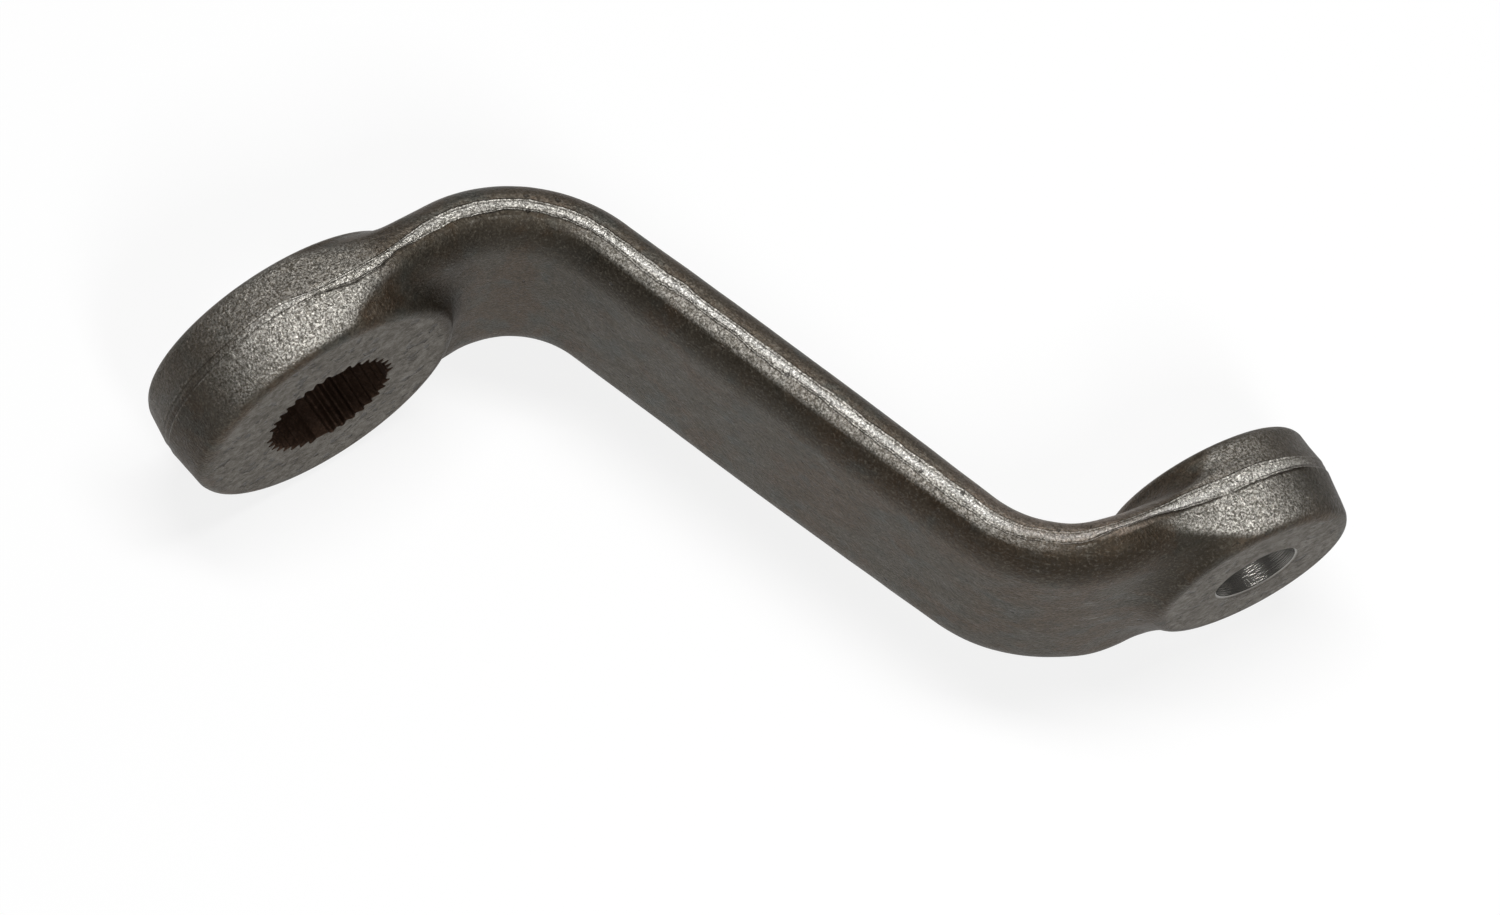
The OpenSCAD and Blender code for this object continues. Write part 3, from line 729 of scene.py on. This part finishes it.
# Bare metal: on the land, along proud edges, and thinly on the walls beside the land; the walls' patches are partly
# painted highlight, placed where the light falls and stronger on the nut side
bare_and_highlight_colour = m.tint(speck, BARE_DARK, BARE_LIGHT)
worn = m.math("MULTIPLY", m.span(proud, 0.12, 0.5), m.span(m.noise(place, 2.2, 3, 0.7), 0.35, 0.62))
rubbed_and_highlight = m.math("MULTIPLY", wall, m.span(mottle, 0.25, 0.6, 0.45, 1.0))
bare_and_highlight = m.math("MAXIMUM", land, m.math("MAXIMUM", m.math("MULTIPLY", worn, 0.2), rubbed_and_highlight))
# Painted highlight along the land's ridge
bare_and_highlight_colour = m.tint(m.math("MULTIPLY", m.attribute("ridge"), m.span(speck, 0, 1, 0.45, 1)), bare_and_highlight_colour, RIDGE_PAINTED_HIGHLIGHT)
colour = m.tint(bare_and_highlight, scale_colour, bare_and_highlight_colour)

# Dull grey faces of the eyes, with stains
face_colour = m.tint(m.span(blotches, 0.35, 0.68), FACE_LIGHT, FACE_DARK)
face_colour = m.tint(m.span(mottle, 0.5, 0.70, 0, 0.75), face_colour, FACE_STAIN)
face_colour = m.tint(m.span(grain, 0.35, 0.62, 0.35, 0), face_colour, FACE_STAIN)
colour = m.tint(face, colour, face_colour)

# Painted shade: darker in hollows
colour = m.tint(m.span(proud, -0.1, -0.5, 0, 0.7), colour, DIRT_AND_SHADE)

# Oily dark bore, and the reamed hole
colour = m.tint(bore, colour, m.tint(blotches, (0.026, 0.014, 0.009), (0.088, 0.052, 0.034)))
colour = m.tint(hole, colour, (0.30, 0.29, 0.27))

# Sparse pits
cells = m.tree.nodes.new("ShaderNodeTexVoronoi")
cells.inputs["Scale"].default_value = 1 / 7.0
m.put(cells.inputs["Vector"], m.add("ShaderNodeVectorMath", {
    0: place, 1: m.add("ShaderNodeTexNoise", {"Vector": place, "Scale": 1 / 1.5}, 1)}, operation="ADD"))
pits = m.span(cells.outputs["Distance"], 0.09, 0.045)
some = m.math("MULTIPLY", face, m.span(m.noise(place, 11, 1), 0.42, 0.52))
pits = m.math("MAXIMUM", pits, m.math("MULTIPLY", some, m.span(m.noise(place, 2.2, 1, 0.5, 0.3), 0.60, 0.65)))
pits = m.math("MULTIPLY", pits, m.math("SUBTRACT", 1.0, m.math("MAXIMUM", bore, hole)))
colour = m.tint(m.math("MULTIPLY", pits, 0.8), colour, DIRT_AND_SHADE)

m.put(m.shader.inputs["Base Color"], colour)
# Oxide and dirt reflect less than metal does, also along the surface
stained = m.math("MULTIPLY", face, m.span(mottle, 0.46, 0.70, 0, 0.7))
stained = m.math("MAXIMUM", stained, m.math("MULTIPLY", m.span(mottle, 0.52, 0.34, 0, 0.35), m.math("SUBTRACT", 1.0, m.math("MAXIMUM", bare_and_highlight, hole))))
m.put(m.shader.inputs["Metallic"], m.mix(m.math("MAXIMUM", pits, stained), 0.85, 0.1))
rough = m.mix(bare_and_highlight, m.span(blotches, 0.3, 0.7, 0.46, 0.58), 0.40)
rough = m.mix(m.attribute("ridge"), rough, 0.34)
rough = m.mix(face, rough, m.span(mottle, 0.35, 0.7, 0.48, 0.72))
rough = m.mix(bore, rough, 0.6)
rough = m.mix(hole, rough, 0.20)
m.put(m.shader.inputs["Roughness"], rough)

# Heights in mm, turned to metres for the bump
height = m.math("MULTIPLY", m.math("SUBTRACT", grain, 0.5), m.mix(bare_and_highlight, 0.20, 0.32))
height = m.math("ADD", height, m.math("MULTIPLY", coarse_grain, m.mix(m.math("MAXIMUM", bare_and_highlight, m.attribute("eye_wall")), 0.20, 0.52)))
height = m.math("ADD", height, m.math("MULTIPLY", blotches, 0.16))
height = m.math("SUBTRACT", height, m.math("MULTIPLY", pits, 0.35))
smooth = m.math("SUBTRACT", 1.0, m.math("MULTIPLY", hole, 0.96))
height = m.math("MULTIPLY", height, smooth)
reamed = m.math("MULTIPLY", m.noise(m.scaled(place, (0, 0, 1)), 0.3, 2), m.math("MULTIPLY", hole, 0.34))
height = m.math("ADD", height, reamed)
m.put(m.shader.inputs["Normal"], m.add("ShaderNodeBump", {"Height": height, "Distance": 0.001, "Strength": 1.0}))
mesh.materials.append(m.material)

# ---------------------------------------------------------------------------
# Camera, at the photograph's viewing angle
# ---------------------------------------------------------------------------
cam = bpy.data.cameras.new("camera")
cam.sensor_width = 36
cam.lens = 147.599
cam.clip_end = 20
camera = bpy.data.objects.new("camera", cam)
bpy.context.scene.collection.objects.link(camera)
camera.location = (-0.302904, -0.4466, 1.221548)
camera.rotation_euler = (0.4013386, -0.0815342, -0.5925359)
bpy.context.scene.camera = camera

turn = camera.rotation_euler.to_matrix()
right, up, near = (turn @ Vector(v) for v in ((1, 0, 0), (0, 1, 0), (0, 0, 1)))
centre = Vector((0.075, -0.07, 0))


def area(name, place, size, power, size_y=None):
    light = bpy.data.lights.new(name, "AREA")
    light.shape = "RECTANGLE"
    light.size = size
    light.size_y = size_y or size
    light.energy = power
    ob = bpy.data.objects.new(name, light)
    bpy.context.scene.collection.objects.link(ob)
    ob.location = place
    ob.rotation_euler = (centre - place).to_track_quat("-Z", "Y").to_euler()


area("key", centre + Vector((0.14, 0.13, 0.98)) * 1.3, 0.9, 14, 0.2)
area("front", centre + Vector((-0.18, -0.62, 0.76)) * 1.4, 0.2, 8, 0.4)

world = bpy.data.worlds.new("studio")
bpy.context.scene.world = world
world.use_nodes = True
world.node_tree.nodes["Background"].inputs["Color"].default_value = (1, 1, 1, 1)
world.node_tree.nodes["Background"].inputs["Strength"].default_value = 0.10

# Plain floor: white to the eye and in reflections, and it keeps a part of the shadow
floor_mesh = bpy.data.meshes.new("floor")
z = cad_box[0][2] - 0.0002
floor_mesh.from_pydata([(-3, -3, z), (3, -3, z), (3, 3, z), (-3, 3, z)], [], [(0, 1, 2, 3)])
floor = bpy.data.objects.new("floor", floor_mesh)
bpy.context.scene.collection.objects.link(floor)
f = Nodes("floor")
f.shader.inputs["Base Color"].default_value = (0.9, 0.9, 0.9, 1)
f.shader.inputs["Roughness"].default_value = 0.9
path = f.tree.nodes.new("ShaderNodeLightPath").outputs
seen = f.math("MAXIMUM", path["Is Camera Ray"], f.math("MAXIMUM", path["Is Glossy Ray"], path["Is Transmission Ray"]))
white = f.add("ShaderNodeEmission", {"Color": (1, 1, 1, 1), "Strength": 1.0})
shown = f.add("ShaderNodeMixShader", {0: f.math("MULTIPLY", seen, 0.8), 1: f.shader.outputs[0], 2: white})
f.put(f.tree.nodes["Material Output"].inputs["Surface"], shown)
floor_mesh.materials.append(f.material)

bpy.context.scene.view_settings.view_transform = "Standard"
